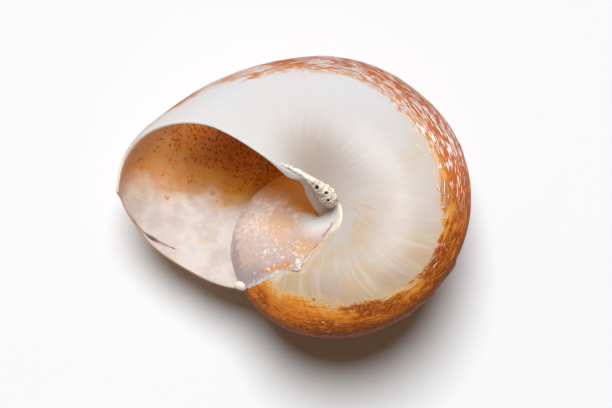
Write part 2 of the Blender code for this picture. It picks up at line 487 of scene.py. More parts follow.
def growth_relief(around, along):
    """How far the outer surface of the last whorl stands out, in metres: growth wrinkles and halts."""
    shown = smooth(along, -112.0, -92.0)
    shown *= smooth(around, -86.0, -60.0) * smooth(-around, -154.0, -120.0)
    if shown == 0.0:
        return 0.0
    laid = along - lip_line(around)
    wrinkle = noise.noise(Vector((laid * 0.30, around * 0.012, 3.0)))
    wrinkle += 0.6 * noise.noise(Vector((laid * 0.75, around * 0.02, 7.0)))
    wave = noise.noise(Vector((along * 0.06, around * 0.03, 11.0)))
    height = WRINKLE_HEIGHT * wrinkle + WAVE_HEIGHT * wave
    near_rim = smooth(around, -70.0, -30.0) * smooth(-around, -75.0, -25.0)
    for place, drop, ramp in GROWTH_HALTS:
        before = (place - along + 2.0 * noise.noise(Vector((around * 0.05, place, 0.0)))) / ramp
        if -0.08 < before < 1.0:
            height += near_rim * drop * (1.0 - before) * smooth(before, -0.08, 0.04)
    return height * shown


def swept(point, around, along, outward, lift):
    """A point of the section carried to a growth angle and lifted off the surface, in the growth frame."""
    size = GROWTH_PER_TURN ** ((along - FULL_SIZE_ALONG) / FULL_TURN)
    out = size * point.x * swelling(around, along) + outward.x * lift
    height = size * point.y + outward.y * lift
    angle = math.radians(along)
    return Vector((out * math.cos(angle), out * math.sin(angle), height))


def placed(row, step):
    """Position of a row's point at a growth step, and its growth angle. Step 0 is the lip."""
    ahead, middle, reach = LIP_CORNER
    near_lip = max(0.0, 1.0 + step * STEP / CORNER_ANGLE) ** 2
    corner = ahead * math.exp(-(((row.around - middle) / reach) ** 2)) * near_lip
    along = row.lead + step * STEP + corner
    if row.outward is None:
        on_pillar = smooth(row.around, 146.0, 172.0)
        back = THINNING_ANGLE + (PILLAR_THINNING_ANGLE - THINNING_ANGLE) * on_pillar
        point = row.point + row.thinning * max(0.0, 1.0 + step * STEP / back) ** 2
        return swept(point, row.around, along, Vector((0.0, 0.0)), 0.0), along
    return swept(row.point, row.around, along, row.outward, growth_relief(row.around, along)), along


def point_at(row, step):
    return placed(row, step)[0]


def grow_sheet(mesh, rows, first, last, slot):
    """Bends a grid of rows and growth steps to the wall's shape, and notes each place's growth angles."""
    growth = mesh.verts.layers.float_vector["growth"]
    columns = len(rows) - 1
    steps = last - first
    sheet = bmesh.ops.create_grid(mesh, x_segments=columns, y_segments=steps, size=1.0)["verts"]
    for vertex in sheet:
        row = rows[round((vertex.co.x + 1.0) / 2.0 * columns)]
        step = first + round((vertex.co.y + 1.0) / 2.0 * steps)
        vertex.co, along = placed(row, step)
        vertex[growth] = (along, row.around, 0.0)
    unwrap_growth(mesh, {face for vertex in sheet for face in vertex.link_faces}, slot)


def unwrap_growth(mesh, faces, slot):
    """UV of the surface: growth angle one way, place round the section the other, in turns."""
    growth = mesh.verts.layers.float_vector["growth"]
    unwrapped = mesh.loops.layers.uv["growth"]
    for face in faces:
        face.material_index = slot
        for loop in face.loops:
            along, around, _ = loop.vert[growth]
            loop[unwrapped].uv = (along / FULL_TURN, around / FULL_TURN)


def vertices_at(mesh, points):
    """The vertices nearest to a list of points."""
    tree = KDTree(len(mesh.verts))
    for index, vertex in enumerate(mesh.verts):
        tree.insert(vertex.co, index)
    tree.balance()
    mesh.verts.ensure_lookup_table()
    return [mesh.verts[tree.find(point)[1]] for point in points]


def close_ring(mesh, points, centre, slot):
    """Closes a ring of the wall with a fan about a centre point."""
    face = mesh.faces.new(vertices_at(mesh, points))
    fan = bmesh.ops.poke(mesh, faces=[face])
    fan["verts"][0].co = centre
    unwrap_growth(mesh, fan["faces"], slot)


def zip_lines(mesh, outer_points, inner_points, slot):
    """Fills the gap between two lines with triangles, always across the shorter way."""
    outer = vertices_at(mesh, outer_points)
    inner = vertices_at(mesh, inner_points)
    faces = []
    while len(outer) > 1 or len(inner) > 1:
        along_outer = (outer[1].co - inner[0].co).length if len(outer) > 1 else math.inf
        along_inner = (inner[1].co - outer[0].co).length if len(inner) > 1 else math.inf
        line = outer if along_outer < along_inner else inner
        corners = [outer[0], inner[0], line[1]]
        if len(set(corners)) == 3:
            faces.append(mesh.faces.new(corners))
        line.pop(0)
    unwrap_growth(mesh, faces, slot)


OUTSIDE, LINING, LIP = range(3)


def build_wall():
    """The closed wall of the shell, in the growth frame."""
    spire = outer_rows(SPIRE_AROUNDS)
    base = outer_rows(BASE_AROUNDS)
    umbilicus = outer_rows(UMBILICAL_AROUNDS)
    axis = Row(Vector((0.0, AXIS_HEIGHT)), umbilicus[-1].lead, FOOT_AROUND)
    umbilicus.append(axis)
    chamber = chamber_rows()
    last_whorl = [spire[-1]] + base + umbilicus

    mesh = bmesh.new()
    mesh.verts.layers.float_vector.new("growth")
    mesh.loops.layers.uv.new("growth")
    grow_sheet(mesh, spire, -SHELL_STEPS, 0, OUTSIDE)
    grow_sheet(mesh, last_whorl, -STEPS_PER_LAP, 0, OUTSIDE)
    grow_sheet(mesh, base, -CHAMBER_STEPS - STEPS_PER_LAP, -STEPS_PER_LAP, OUTSIDE)
    grow_sheet(mesh, chamber, -CHAMBER_STEPS, 0, LINING)
    bmesh.ops.remove_doubles(mesh, verts=mesh.verts, dist=MERGE_DISTANCE)

    # The lip and the front of the columella join the outer surface to the chamber.
    rim = [point_at(row, 0) for row in spire + last_whorl[1:]]
    rim += [point_at(axis, -step) for step in range(1, STEPS_PER_LAP)]
    rim += [point_at(row, -STEPS_PER_LAP) for row in [axis] + umbilicus[-2::-1] + [base[-1]]]
    zip_lines(mesh, rim, [point_at(row, 0) for row in chamber], LIP)

    # The first whorl starts in a small rounded nucleus, and the chamber ends deep inside.
    nucleus = [point_at(row, -SHELL_STEPS) for row in spire[::-1]]
    nucleus += [point_at(spire[0], step - SHELL_STEPS) for step in range(1, STEPS_PER_LAP)]
    start_size = GROWTH_PER_TURN ** (-(SHELL_STEPS * STEP) / FULL_TURN)
    close_ring(mesh, nucleus, Vector((0.0, 0.0, NUCLEUS_HEIGHT * start_size)), OUTSIDE)
    chamber_end = [point_at(row, -CHAMBER_STEPS) for row in chamber]
    chamber_end += [point_at(row, -CHAMBER_STEPS - STEPS_PER_LAP) for row in base[-2:0:-1]]
    middle = Row(Vector((TUBE_FROM_AXIS, TUBE_BELOW_APEX)), FULL_SIZE_ALONG, FOOT_AROUND)
    close_ring(mesh, chamber_end, point_at(middle, -CHAMBER_STEPS), LINING)
    bmesh.ops.recalc_face_normals(mesh, faces=mesh.faces)
    rim_edges = [
        edge for edge in mesh.edges
        if {face.material_index == LIP for face in edge.link_faces} == {True, False}
    ]
    bmesh.ops.bevel(
        mesh, geom=rim_edges, offset=LIP_ROUNDING, segments=2, profile=0.5, affect="EDGES", material=-1
    )
    cut_slit(mesh)
    return mesh


def slit_at(around, along):
    """1 in the scar of the lining and up to 2 at its darkest place, 0 away from it."""
    if not SLIT_LINE[0][0] < around < SLIT_LINE[-1][0]:
        return 0.0
    middle, reach = SLIT_DARKEST
    dark = math.exp(-(((around - middle) / reach) ** 2))
    width = SLIT_HALF_WIDTH * (1.0 + 1.4 * math.exp(-(((around - middle) / (2.5 * reach)) ** 2)))
    away = (through(SLIT_LINE, around) - along) / width
    ends = smooth(around, SLIT_LINE[0][0], -57.0) * smooth(-around, -SLIT_LINE[-1][0], 25.0)
    broken = 0.75 + 0.5 * noise.noise(Vector((around * 0.35, 5.0, 0.0)))
    return min(1.0, broken) * ends * math.exp(-(away**2)) * (1.0 + dark)


def cut_slit(mesh):
    """Makes the lining's mesh finer round the scar and sinks it in."""
    growth = mesh.verts.layers.float_vector["growth"]
    edges = {}
    for face in mesh.faces:
        along, around, _ = face.verts[0][growth]
        beside = SLIT_LINE[0][0] < around < SLIT_LINE[-1][0]
        near = beside and abs(through(SLIT_LINE, around) - along) < SLIT_MARGIN
        if face.material_index == LINING and near:
            edges.update(dict.fromkeys(face.edges))
    bmesh.ops.subdivide_edges(mesh, edges=list(edges), cuts=SLIT_CUTS, use_grid_fill=True)
    mesh.normal_update()
    for vertex in mesh.verts:
        if all(face.material_index == LINING for face in vertex.link_faces):
            along, around, _ = vertex[growth]
            vertex.co -= vertex.normal * SLIT_DEPTH * slit_at(around, along)


def lean(mesh):
    """Turns a mesh from the growth frame to the way the shell lies, with the local deposits and dents."""
    turn = Matrix.Rotation(math.radians(-LEAN_LEFT), 4, "Y")
    turn @= Matrix.Rotation(math.radians(-LEAN_BACK), 4, "X")
    bmesh.ops.transform(mesh, matrix=turn, verts=mesh.verts)
    for centre, push, reach in (UMBILICAL_CALLUS, SUTURE_DENT):
        for vertex in mesh.verts:
            distance = (vertex.co - Vector(centre)).length
            if distance < 3.5 * reach:
                vertex.co += Vector(push) * math.exp(-((distance / reach) ** 2))


def lay_down(mesh, low, high):
    """Lays the shell on its worn flat contact spots, in its place. Gives back how far it was shifted."""
    lean(mesh)
    floor = min(vertex.co.z for vertex in mesh.verts) + WORN_DEPTH
    everything = mesh.verts[:] + mesh.edges[:] + mesh.faces[:]
    cut = bmesh.ops.bisect_plane(
        mesh, geom=everything, plane_co=(0, 0, floor), plane_no=(0, 0, 1), clear_inner=True
    )["geom_cut"]
    cut_edges = [item for item in cut if isinstance(item, bmesh.types.BMEdge)]
    bmesh.ops.holes_fill(mesh, edges=cut_edges, sides=0)
    xs = [vertex.co.x for vertex in mesh.verts]
    ys = [vertex.co.y for vertex in mesh.verts]
    middle = Vector(((min(xs) + max(xs)) / 2, (min(ys) + max(ys)) / 2, floor))
    place = Vector(((low[0] + high[0]) / 2, (low[1] + high[1]) / 2, low[2]))
    bmesh.ops.translate(mesh, vec=place - middle, verts=mesh.verts)
    bmesh.ops.recalc_face_normals(mesh, faces=mesh.faces)
    return place - middle


def layered_noise(x, y, seed):
    """Noise of three layers, from -1 to 1, each twice as fine and half as strong as the one before."""
    total = 0.0
    for layer in range(3):
        fine = 2.0**layer
        total += noise.noise(Vector((x * fine, y * fine, seed + 5.3 * layer))) / fine
    return total / 1.4


def patches_at(around, along):
    """Strength of each field of CALLUS_PATCHES at a place of the callus."""
    patches = dict.fromkeys(CALLUS_FIELDS, 0.0)
    for field, strength, middle, reach in CALLUS_PATCHES:
        away_around = (around - middle[0]) / reach[0]
        away_along = (along - middle[1]) / reach[1]
        patches[field] += strength * math.exp(-(away_around**2) - away_along**2)
    return patches


def from_line(around, along, line):
    """How far a place of the callus is from a line, in degrees along, and how far down the line, 0 to 1."""
    here = Vector((around * AROUND_STEP, along))
    nearest = (math.inf, 0.0)
    for index in range(len(line) - 1):
        start = Vector((line[index][0] * AROUND_STEP, line[index][1]))
        span = Vector((line[index + 1][0] * AROUND_STEP, line[index + 1][1])) - start
        part = min(max((here - start).dot(span) / span.length_squared, 0.0), 1.0)
        nearest = min(nearest, ((here - start - span * part).length, (index + part) / (len(line) - 1)))
    return nearest


def callus_relief(around, along):
    """Height of the callus over the whorl before, and its fields in the order of CALLUS_FIELDS."""
    ragged = 2.2 * layered_noise(around * 0.11, along * 0.05, 2.0)
    ragged += 1.1 * noise.noise(Vector((around * 0.32, along * 0.26, 9.0)))
    smooth_end = smooth(around, 112.0, 124.0)
    inside = through(CALLUS_EDGE, around) + ragged * (1.0 - 0.8 * smooth_end) - along
    cover = smooth(inside, -0.9, 0.9)
    rim = math.exp(-(((inside - 1.8) / 1.6) ** 2)) * (1.0 - smooth_end)
    away, part = from_line(around, along, FOLD_LINE)
    fold = math.exp(-((away / 5.4) ** 2)) * smooth(-part, -1.0, -0.8)
    away, part = from_line(around, along, TOOTH_LINE)
    tooth = math.exp(-((away / 5.0) ** 2)) * (0.3 + 0.7 * part)
    red = math.exp(-((from_line(around, along, RED_LINE)[0] / 3.6) ** 2))

    patches = patches_at(around, along)
    crust = max(patches["crust"] * (1.0 - smooth_end), 0.8 * rim)
    away, part = from_line(around, along, OCHRE_LINE)
    ochre = math.exp(-((away / (3.0 + 6.0 * part)) ** 2)) * smooth(-part, -1.0, -0.9) + patches["ochre"]
    height = cover * (CALLUS_HEIGHT + CALLUS_RIM * rim + CALLUS_FOLD * fold + CALLUS_TOOTH * tooth)
    height += CALLUS_CRUST * crust * layered_noise(around * 0.30, along * 0.30, 21.0)
    height += CALLUS_UNEVENNESS * layered_noise(around * 0.09, along * 0.07, 31.0)
    height -= CALLUS_TUCK * (1.0 - cover)
    return height, inside, crust, tooth, patches["warm"], ochre, patches["painted_shade"], red, fold


def build_callus(shift):
    """The thin callus on the whorl before: a closed skin that dips under the surface at its ragged edge."""
    mesh = bmesh.new()
    layers = [mesh.verts.layers.float.new(name) for name in CALLUS_FIELDS]
    growth = mesh.verts.layers.float_vector.new("growth")
    mesh.loops.layers.uv.new("growth")
    first_around, last_around, columns = CALLUS_AROUND
    first_along, last_along, steps = CALLUS_ALONG
    skin = bmesh.ops.create_grid(mesh, x_segments=columns, y_segments=steps, size=1.0)["verts"]
    for vertex in skin:
        around = first_around + (last_around - first_around) * (vertex.co.x + 1.0) / 2.0
        along = first_along + (last_along - first_along) * (vertex.co.y + 1.0) / 2.0
        lift, *fields = callus_relief(around, along)
        lift += growth_relief(around, along)
        vertex.co = swept(section_point(around), around, along, -section_inward(around), lift)
        vertex[growth] = (along, around, 0.0)
        for layer, value in zip(layers, fields):
            vertex[layer] = value
    far_outside = [vertex for vertex in skin if vertex[layers[0]] < -7.0]
    bmesh.ops.delete(mesh, geom=far_outside, context="VERTS")
    unwrap_growth(mesh, mesh.faces, 0)
    lean(mesh)
    bmesh.ops.translate(mesh, vec=shift, verts=mesh.verts)
    bmesh.ops.recalc_face_normals(mesh, faces=mesh.faces)
    top_face = min(mesh.faces, key=lambda face: (face.calc_center_median() - Vector(CALLUS_TOP)).length)
    if top_face.normal.z < 0.0:
        bmesh.ops.reverse_faces(mesh, faces=mesh.faces)
    bmesh.ops.solidify(mesh, geom=mesh.faces[:], thickness=CALLUS_DEPTH)
    return mesh


def build_lump(line, raggedness, pits):
    """A lump of callus: a sphere drawn out along a middle line, roughened, with pits in its top."""
    mesh = bmesh.new()
    pit = mesh.verts.layers.float.new("pit")
    last = len(line) - 1
    middles = [(float(index), Vector(point[:3])) for index, point in enumerate(line)]
    widths = [(float(index), point[3]) for index, point in enumerate(line)]
    rounds, lengths = LUMP_SEGMENTS
    bmesh.ops.create_uvsphere(mesh, u_segments=rounds, v_segments=lengths, radius=1.0)
    for vertex in mesh.verts:
        part = math.acos(min(max(vertex.co.z, -1.0), 1.0)) / math.pi
        place = part * last
        middle = through(middles, place)
        ahead = through(middles, min(place + 0.05, last)) - through(middles, max(place - 0.05, 0.0))
        ahead.normalize()
        side = ahead.cross(Vector((0.0, 0.0, 1.0))).normalized()
        angle = math.atan2(vertex.co.y, vertex.co.x)
        outward = side * math.cos(angle) + side.cross(ahead) * math.sin(angle)
        closing = math.sqrt(min(1.0, 12.0 * part, 12.0 * (1.0 - part)))
        vertex.co = middle + outward * through(widths, place) * closing
        rough = 0.6 * noise.noise(vertex.co / (0.9 * MM)) + 0.4 * noise.noise(vertex.co / (0.35 * MM))
        vertex.co += outward * rough * raggedness * min(1.0, closing)
        for x, y, reach in pits:
            distance = math.hypot(vertex.co.x - x, vertex.co.y - y) / reach
            if outward.z > 0.0 and distance < 3.0:
                deep = math.exp(-(distance**4))
                at_rim = math.exp(-(((distance - 1.6) / 0.5) ** 2))
                vertex.co.z += PIT_RIM * at_rim - PIT_DEPTH * deep
                vertex[pit] = max(vertex[pit], deep)
    bmesh.ops.remove_doubles(mesh, verts=mesh.verts, dist=1e-7)
    bmesh.ops.recalc_face_normals(mesh, faces=mesh.faces)
    return mesh


def linear(hex_colour):
    """Linear colour of an sRGB hex value."""
    channels = []
    for place in (1, 3, 5):
        value = int(hex_colour[place : place + 2], 16) / 255.0
        channels.append(value / 12.92 if value <= 0.04045 else ((value + 0.055) / 1.055) ** 2.4)
    return (*channels, 1.0)


def connect(node, inputs):
    """Links a node's inputs to outputs or sets them, by name or in their order. Text is a hex colour."""
    if isinstance(inputs, dict):
        pairs = [(node.inputs[name], value) for name, value in inputs.items()]
    else:
        pairs = zip([socket for socket in node.inputs if socket.enabled], inputs)
    for socket, value in pairs:
        if isinstance(value, bpy.types.NodeSocket):
            node.id_data.links.new(value, socket)
        else:
            socket.default_value = linear(value) if isinstance(value, str) else value


def add_node(tree, kind, inputs=(), output=None, **settings):
    """Adds a node with its settings and links, and gives back its first output or the named one.

    A MapRange takes a value, the two ends of its range and the two ends of the range it goes to. A
    MULTIPLY_ADD takes a pattern, how much of it, and what it is added to.
    """
    node = tree.nodes.new("ShaderNode" + kind)
    for name, value in settings.items():
        setattr(node, name, value)
    connect(node, inputs)
    return node.outputs[output] if output else next(socket for socket in node.outputs if socket.enabled)


SMOOTHLY = {"interpolation_type": "SMOOTHSTEP"}


def new_material(name):
    """A new material, its shader, and add_node for its own tree."""
    material = bpy.data.materials.new(name)
    material.use_nodes = True
    tree = material.node_tree
    return material, tree.nodes["Principled BSDF"], partial(add_node, tree)


def let_through(add, finish, share, colour):
    """Lets part of the light through the thin wall, so the mouth glows where the sun is on its back."""
    glow = add("BsdfTranslucent", (colour,))
    thin = add("MixShader", (share, finish.outputs[0], glow))
    connect(finish.id_data.nodes["Material Output"], {"Surface": thin})


# Real sizes of the surface, in millimetres, that turn a pattern's width into a scale on the growth UV map.
RIM_TURN = 230.0
SECTION_TURN = 100.0
OLD_TURN = 42.0
OLD_SECTION_TURN = 52.0

ARAGONITE_IOR = 1.53


def outer_shell():
    """Aragonite laid down at the lip line after line: dense as porcelain, with a soft gloss that the growth
    lines break up. The colour went in as it grew, so it lies in spiral streaks and dashes."""
    material, finish, add = new_material("grown_aragonite_outer_layer")
    angles = add("VectorMath", (add("UVMap", uv_map="growth"), FULL_TURN), operation="SCALE")
    along = add("SeparateXYZ", (angles,))
    around = along.node.outputs["Y"]
    laid = add("Attribute", output="Fac", attribute_name="laid")
    depth = add("Attribute", output="Fac", attribute_name="depth")
    solid = add("TexCoord", output="Object")
    size = (RIM_TURN / FULL_TURN, SECTION_TURN / FULL_TURN, 0.0)
    in_mm = add("VectorMath", (add("CombineXYZ", (laid, around)), size), operation="MULTIPLY")

    # Each pattern's size in millimetres along the growth and round the section, the angle it slants at, and
    # its layers of detail.
    patterns = {
        "lines": (0.7, 16.0, 0.0, 3.0),
        "fingers": (2.6, 14.0, 0.0, 2.0),
        "streaks": (10.0, 1.15, 0.0, 2.0),
        "dashes": (3.2, 0.34, 0.0, 1.5),
        "scratches": (2.6, 0.30, 24.0, 1.0),
        "cross": (2.6, 0.30, -31.0, 1.0),
        "patches": (13.0, 6.0, 0.0, 2.0),
        "broad": (30.0, 30.0, 0.0, 2.0),
        "rays": (7.0, 26.0, 0.0, 3.0),
    }
    for name, (wide, tall, slant, detail) in patterns.items():
        turned = {"Vector": in_mm, "Rotation": (0.0, 0.0, math.radians(slant)), "Scale": (wide, tall, 1.0)}
        stretched = add("Mapping", turned, vector_type="TEXTURE")
        patterns[name] = add("TexNoise", (stretched, 1.0, detail, 0.6), noise_dimensions="2D")
    cloudy = add("TexNoise", (solid, 1.0 / (6.0 * MM), 3.0))
    newer = add("MapRange", (along, -14.0, 34.0), **SMOOTHLY)

    # How far inside the brown band a place is, in degrees. The edge is smooth where it is old and feathered
    # where it grew last.
    edge = depth
    for name, old, new in (
        ("streaks", 10.0, 26.0), ("fingers", 13.0, 9.0), ("lines", 6.0, 5.0), ("dashes", 5.0, 7.0),
        ("patches", 16.0, 4.0),
    ):
        reach = add("Math", (newer, new - old, old), operation="MULTIPLY_ADD")
        spread = add("Math", (patterns[name], 0.5), operation="SUBTRACT")
        edge = add("Math", (spread, reach, edge), operation="MULTIPLY_ADD")
    in_band = add("MapRange", (edge, -5.0, 3.5), **SMOOTHLY)

    # White on the newest part of the last whorl, cream on its older part, with ochre clouds and pale rays.
    # Painted shade greys it towards the axis, and more in the hollow at the umbilicus.
    older = add("MapRange", (along, 78.0, -50.0), **SMOOTHLY)
    oldest = add("MapRange", (along, 2.0, -46.0), **SMOOTHLY)
    near_band = add("MapRange", (edge, -50.0, -2.0), **SMOOTHLY)
    tan = add("Math", (oldest, near_band), operation="MULTIPLY")
    off_hollow = add("MapRange", (around, 90.0, 124.0, 1.0, 0.5), **SMOOTHLY)
    yellowed = add("Math", (older, off_hollow), operation="MULTIPLY")
    by_callus = add("MapRange", (along, -48.0, -100.0, 0.0, 0.09))
    ochre = cloudy
    for pattern, amount in ((patterns["rays"], 0.5), (patterns["lines"], 0.35)):
        ochre = add("Math", (pattern, amount, ochre), operation="MULTIPLY_ADD")
    ochre = add("Math", (ochre, by_callus), operation="ADD")
    ochre = add("MapRange", (ochre, 0.88, 1.12, 0.0, 0.7), **SMOOTHLY)
    ochre = add("Math", (ochre, older), operation="MULTIPLY")
    off_axis = add("MapRange", (around, 132.0, 88.0), **SMOOTHLY)
    pale_rays = patterns["rays"]
    for pattern, amount in ((patterns["fingers"], 0.7), (patterns["lines"], 0.6)):
        pale_rays = add("Math", (pattern, amount, pale_rays), operation="MULTIPLY_ADD")
    pale_rays = add("MapRange", (pale_rays, 1.10, 1.52, 0.0, 0.55), **SMOOTHLY)
    pale_rays = add("Math", (pale_rays, off_axis), operation="MULTIPLY")
    # Painted shade: the base greys towards the middle of the hollow at the umbilicus.
    from_shade_middle = add("VectorMath", (solid, UMBILICAL_SHADE_MIDDLE), operation="DISTANCE")
    hollow_shade = add("MapRange", (from_shade_middle, 11.5 * MM, 1.0 * MM, 0.0, 0.8), **SMOOTHLY)
    # Painted shade: the white base greys towards the axis.
    shade_towards_axis = add("MapRange", (around, 60.0, 105.0, 0.0, 0.45), **SMOOTHLY)
    base = "#E2EAEE"
    for share, tint in (
        (shade_towards_axis, "#D8D7D6"), (yellowed, "#DFD0C0"), (tan, "#CDB294"), (ochre, "#E0BC82"),
        (pale_rays, "#EBE4E1"), (hollow_shade, "#A69888"),
    ):
        base = add("Mix", (share, base, tint), data_type="RGBA")

    # The older band: feathered ochre, amber, then brown in patches, with paler scratches across it.
    amber = add("MapRange", (edge, -2.0, 14.0), **SMOOTHLY)
    brown = add("MapRange", (along, -108.0, -66.0, -24.0, 0.0))
    brown = add("Math", (brown, edge), operation="ADD")
    for pattern, amount in ((patterns["patches"], 95.0), (patterns["streaks"], 60.0)):
        brown = add("Math", (pattern, amount, brown), operation="MULTIPLY_ADD")
    brown = add("MapRange", (brown, 71.0, 95.0), **SMOOTHLY)
    crossed = add("Math", (patterns["scratches"], patterns["cross"]), operation="MAXIMUM")
    crossed = add("MapRange", (crossed, 0.56, 0.72, 0.0, 0.55), **SMOOTHLY)
    hatched = add("MapRange", (patterns["dashes"], 0.52, 0.68, 0.0, 0.6), **SMOOTHLY)
    old_band = "#CB8E36"
    for share, tint in ((amber, "#BC661C"), (brown, "#863C0C"), (hatched, "#813C0E"), (crossed, "#CE8C48")):
        old_band = add("Mix", (share, old_band, tint), data_type="RGBA")

    # The newer band: bold orange streaks, pinkish brown towards the rim, broken by white. Next to the lip the
    # white gathers in wide gaps.
    pink = add("Math", (patterns["broad"], 80.0, edge), operation="MULTIPLY_ADD")
    pink = add("MapRange", (pink, 42.0, 66.0), **SMOOTHLY)
    newest = add("MapRange", (along, 6.0, 62.0, 0.15, 1.0), **SMOOTHLY)
    pink = add("Math", (pink, newest), operation="MULTIPLY")
    bolder = add("MapRange", (along, -8.0, 34.0, -0.13, 0.0))
    pale = add("Math", (patterns["dashes"], 0.9, patterns["streaks"]), operation="MULTIPLY_ADD")
    pale = add("Math", (pale, bolder), operation="ADD")
    gaps = add("MapRange", (along, 70.0, 110.0, 0.0, 1.2))
    clump = add("Math", (patterns["patches"], 0.47), operation="SUBTRACT")
    pale = add("Math", (clump, gaps, pale), operation="MULTIPLY_ADD")
    pale = add("MapRange", (pale, 1.0, 1.07, 0.0, 0.94), **SMOOTHLY)
    new_band = "#D79E58"
    for share, tint in ((amber, "#C0642A"), (pink, "#A8664A"), (pale, "#EBE4E0")):
        new_band = add("Mix", (share, new_band, tint), data_type="RGBA")

    # White dashes on all of the band, few where it is old, and a pale zone on the spire side by the suture.
    cut = add("Math", (newer, -0.23, 0.80), operation="MULTIPLY_ADD")
    dash = add("Math", (patterns["patches"], 0.4, patterns["dashes"]), operation="MULTIPLY_ADD")
    dash = add("Math", (dash, 0.2), operation="SUBTRACT")
    dash = add("Math", (dash, cut), operation="SUBTRACT")
    dash = add("MapRange", (dash, -0.01, 0.05, 0.0, 0.95), **SMOOTHLY)
    zone = add("Math", (patterns["fingers"], 16.0, around), operation="MULTIPLY_ADD")
    zone = add("MapRange", (zone, -62.0, -76.0, 0.0, 0.65), **SMOOTHLY)
    band = old_band
    for share, tint in ((newer, new_band), (dash, "#F0ECEC"), (zone, "#E2C9AC")):
        band = add("Mix", (share, band, tint), data_type="RGBA")
    halo = add("MapRange", (edge, -11.0, -2.0, 0.0, 0.6), **SMOOTHLY)
    halo = add("Math", (halo, older), operation="MULTIPLY")
    colour = add("Mix", (halo, base, "#E8CB9C"), data_type="RGBA")
    colour = add("Mix", (in_band, colour, band), data_type="RGBA")

    shade = add("Math", (0.7, patterns["lines"]), operation="SUBTRACT")
    shade = add("Math", (shade, off_axis), operation="MULTIPLY")
    shade = add("MapRange", (shade, 0.0, 0.4, 1.0, 0.95))
    grooves = add("Math", (patterns["dashes"], in_band), operation="MULTIPLY")
    ridges = add("Math", (patterns["lines"], off_axis), operation="MULTIPLY")
    ridges = add("Math", (ridges, grooves), operation="ADD")
    connect(finish, {
        "Base Color": add("VectorMath", (colour, shade), operation="SCALE"),
        "Roughness": add("MapRange", (in_band, 0.0, 1.0, 0.42, 0.48)),
        "IOR": ARAGONITE_IOR,
        "Specular IOR Level": add("MapRange", (in_band, 0.0, 1.0, 0.35, 0.06)),
        "Normal": add("Bump", {"Strength": 0.2, "Distance": 0.10 * MM, "Height": ridges}),
    })

    # The white wall is milky, and the newer band's colour goes through it.
    share = add("MapRange", (newest, 0.15, 1.0, 0.06, 0.55))
    share = add("Mix", (in_band, 0.48, share))
    bare = add("Math", (pale, newer), operation="MULTIPLY")
    coloured = add("Math", (bare, -0.85, in_band), operation="MULTIPLY_ADD", use_clamp=True)
    milk = add("Mix", (coloured, "#EEF8FF", "#FAD2A2"), data_type="RGBA")
    let_through(add, finish, share, milk)
    return material


